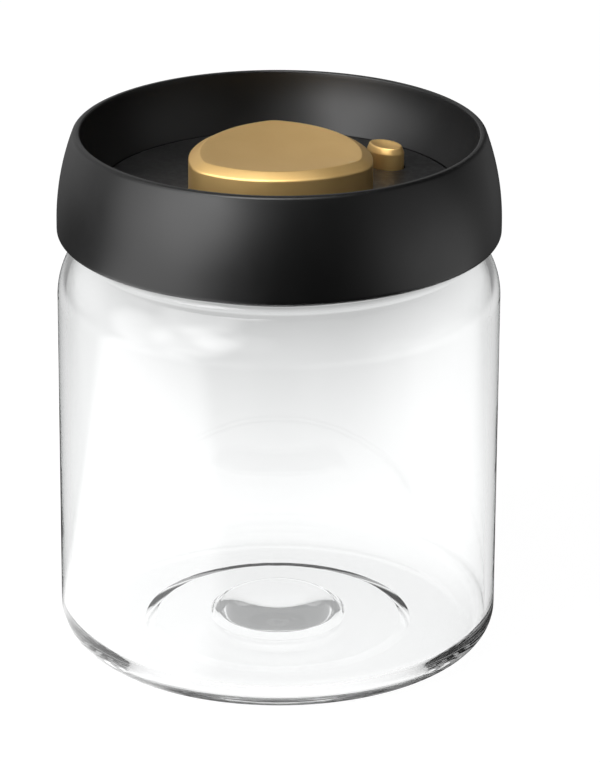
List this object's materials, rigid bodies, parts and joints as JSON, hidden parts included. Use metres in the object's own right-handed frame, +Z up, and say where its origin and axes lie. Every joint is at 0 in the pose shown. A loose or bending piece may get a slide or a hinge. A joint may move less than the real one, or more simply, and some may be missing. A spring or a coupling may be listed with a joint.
{
  "type": "vacuum seal canister",
  "caption": "Clear shouldered glass food canister with a domed base and a deep black vacuum lid, worked by a rounded triangular gold pump button beside a small oval air release button.",
  "frame": {"origin": "centre of the jar's foot, on the surface that it stands on", "axes": "+Z up along the jar's axis, through the lid and the pump button; the picture looks along +Y, with +X to the right, and the release button stands to the back right"},
  "size_m": [0.105, 0.105, 0.1264],
  "materials": {
    "jar_glass": "clear, fire polished",
    "ring_black": "satin moulded",
    "deck_black": "fine matt grain",
    "inner_black": "satin moulded",
    "pump_white": "natural moulded",
    "silicone": "matt translucent",
    "gold": "satin gold anodised",
    "steel": "bright stainless"
  },
  "bodies": {
    "jar": {"glass_jar": "jar_glass"},
    "lid": {"lid_ring": "ring_black", "lid_deck": "deck_black", "inner_lid": "inner_black", "lid_gasket": "silicone", "pump_cylinder": "pump_white", "cylinder_ring": "silicone", "intake_valve": "silicone", "intake_cover": "pump_white", "lid_screws": "steel", "cylinder_screws": "steel", "pump_spring": "steel", "release_spring": "steel"},
    "pump": {"pump_button": "gold", "pump_piston": "pump_white", "piston_seal": "silicone", "exhaust_valve": "silicone", "button_screw": "steel"},
    "release": {"release_button": "gold", "release_stem": "pump_white", "release_seal": "silicone"}
  },
  "joints": [
    {"name": "lid_lift", "type": "slide", "parent": "jar", "child": "lid", "axis": [0, 0, 1], "range_m": [0, 0.06]},
    {"name": "pump_press", "type": "slide", "parent": "lid", "child": "pump", "axis": [0, 0, -1], "range_m": [0, 0.006], "stiffness_N_per_m": 900, "springref_m": -0.004, "deforming": ["pump_spring"]},
    {"name": "release_press", "type": "slide", "parent": "lid", "child": "release", "axis": [0, 0, -1], "range_m": [0, 0.0025], "stiffness_N_per_m": 300, "springref_m": -0.003, "deforming": ["release_spring"]}
  ]
}
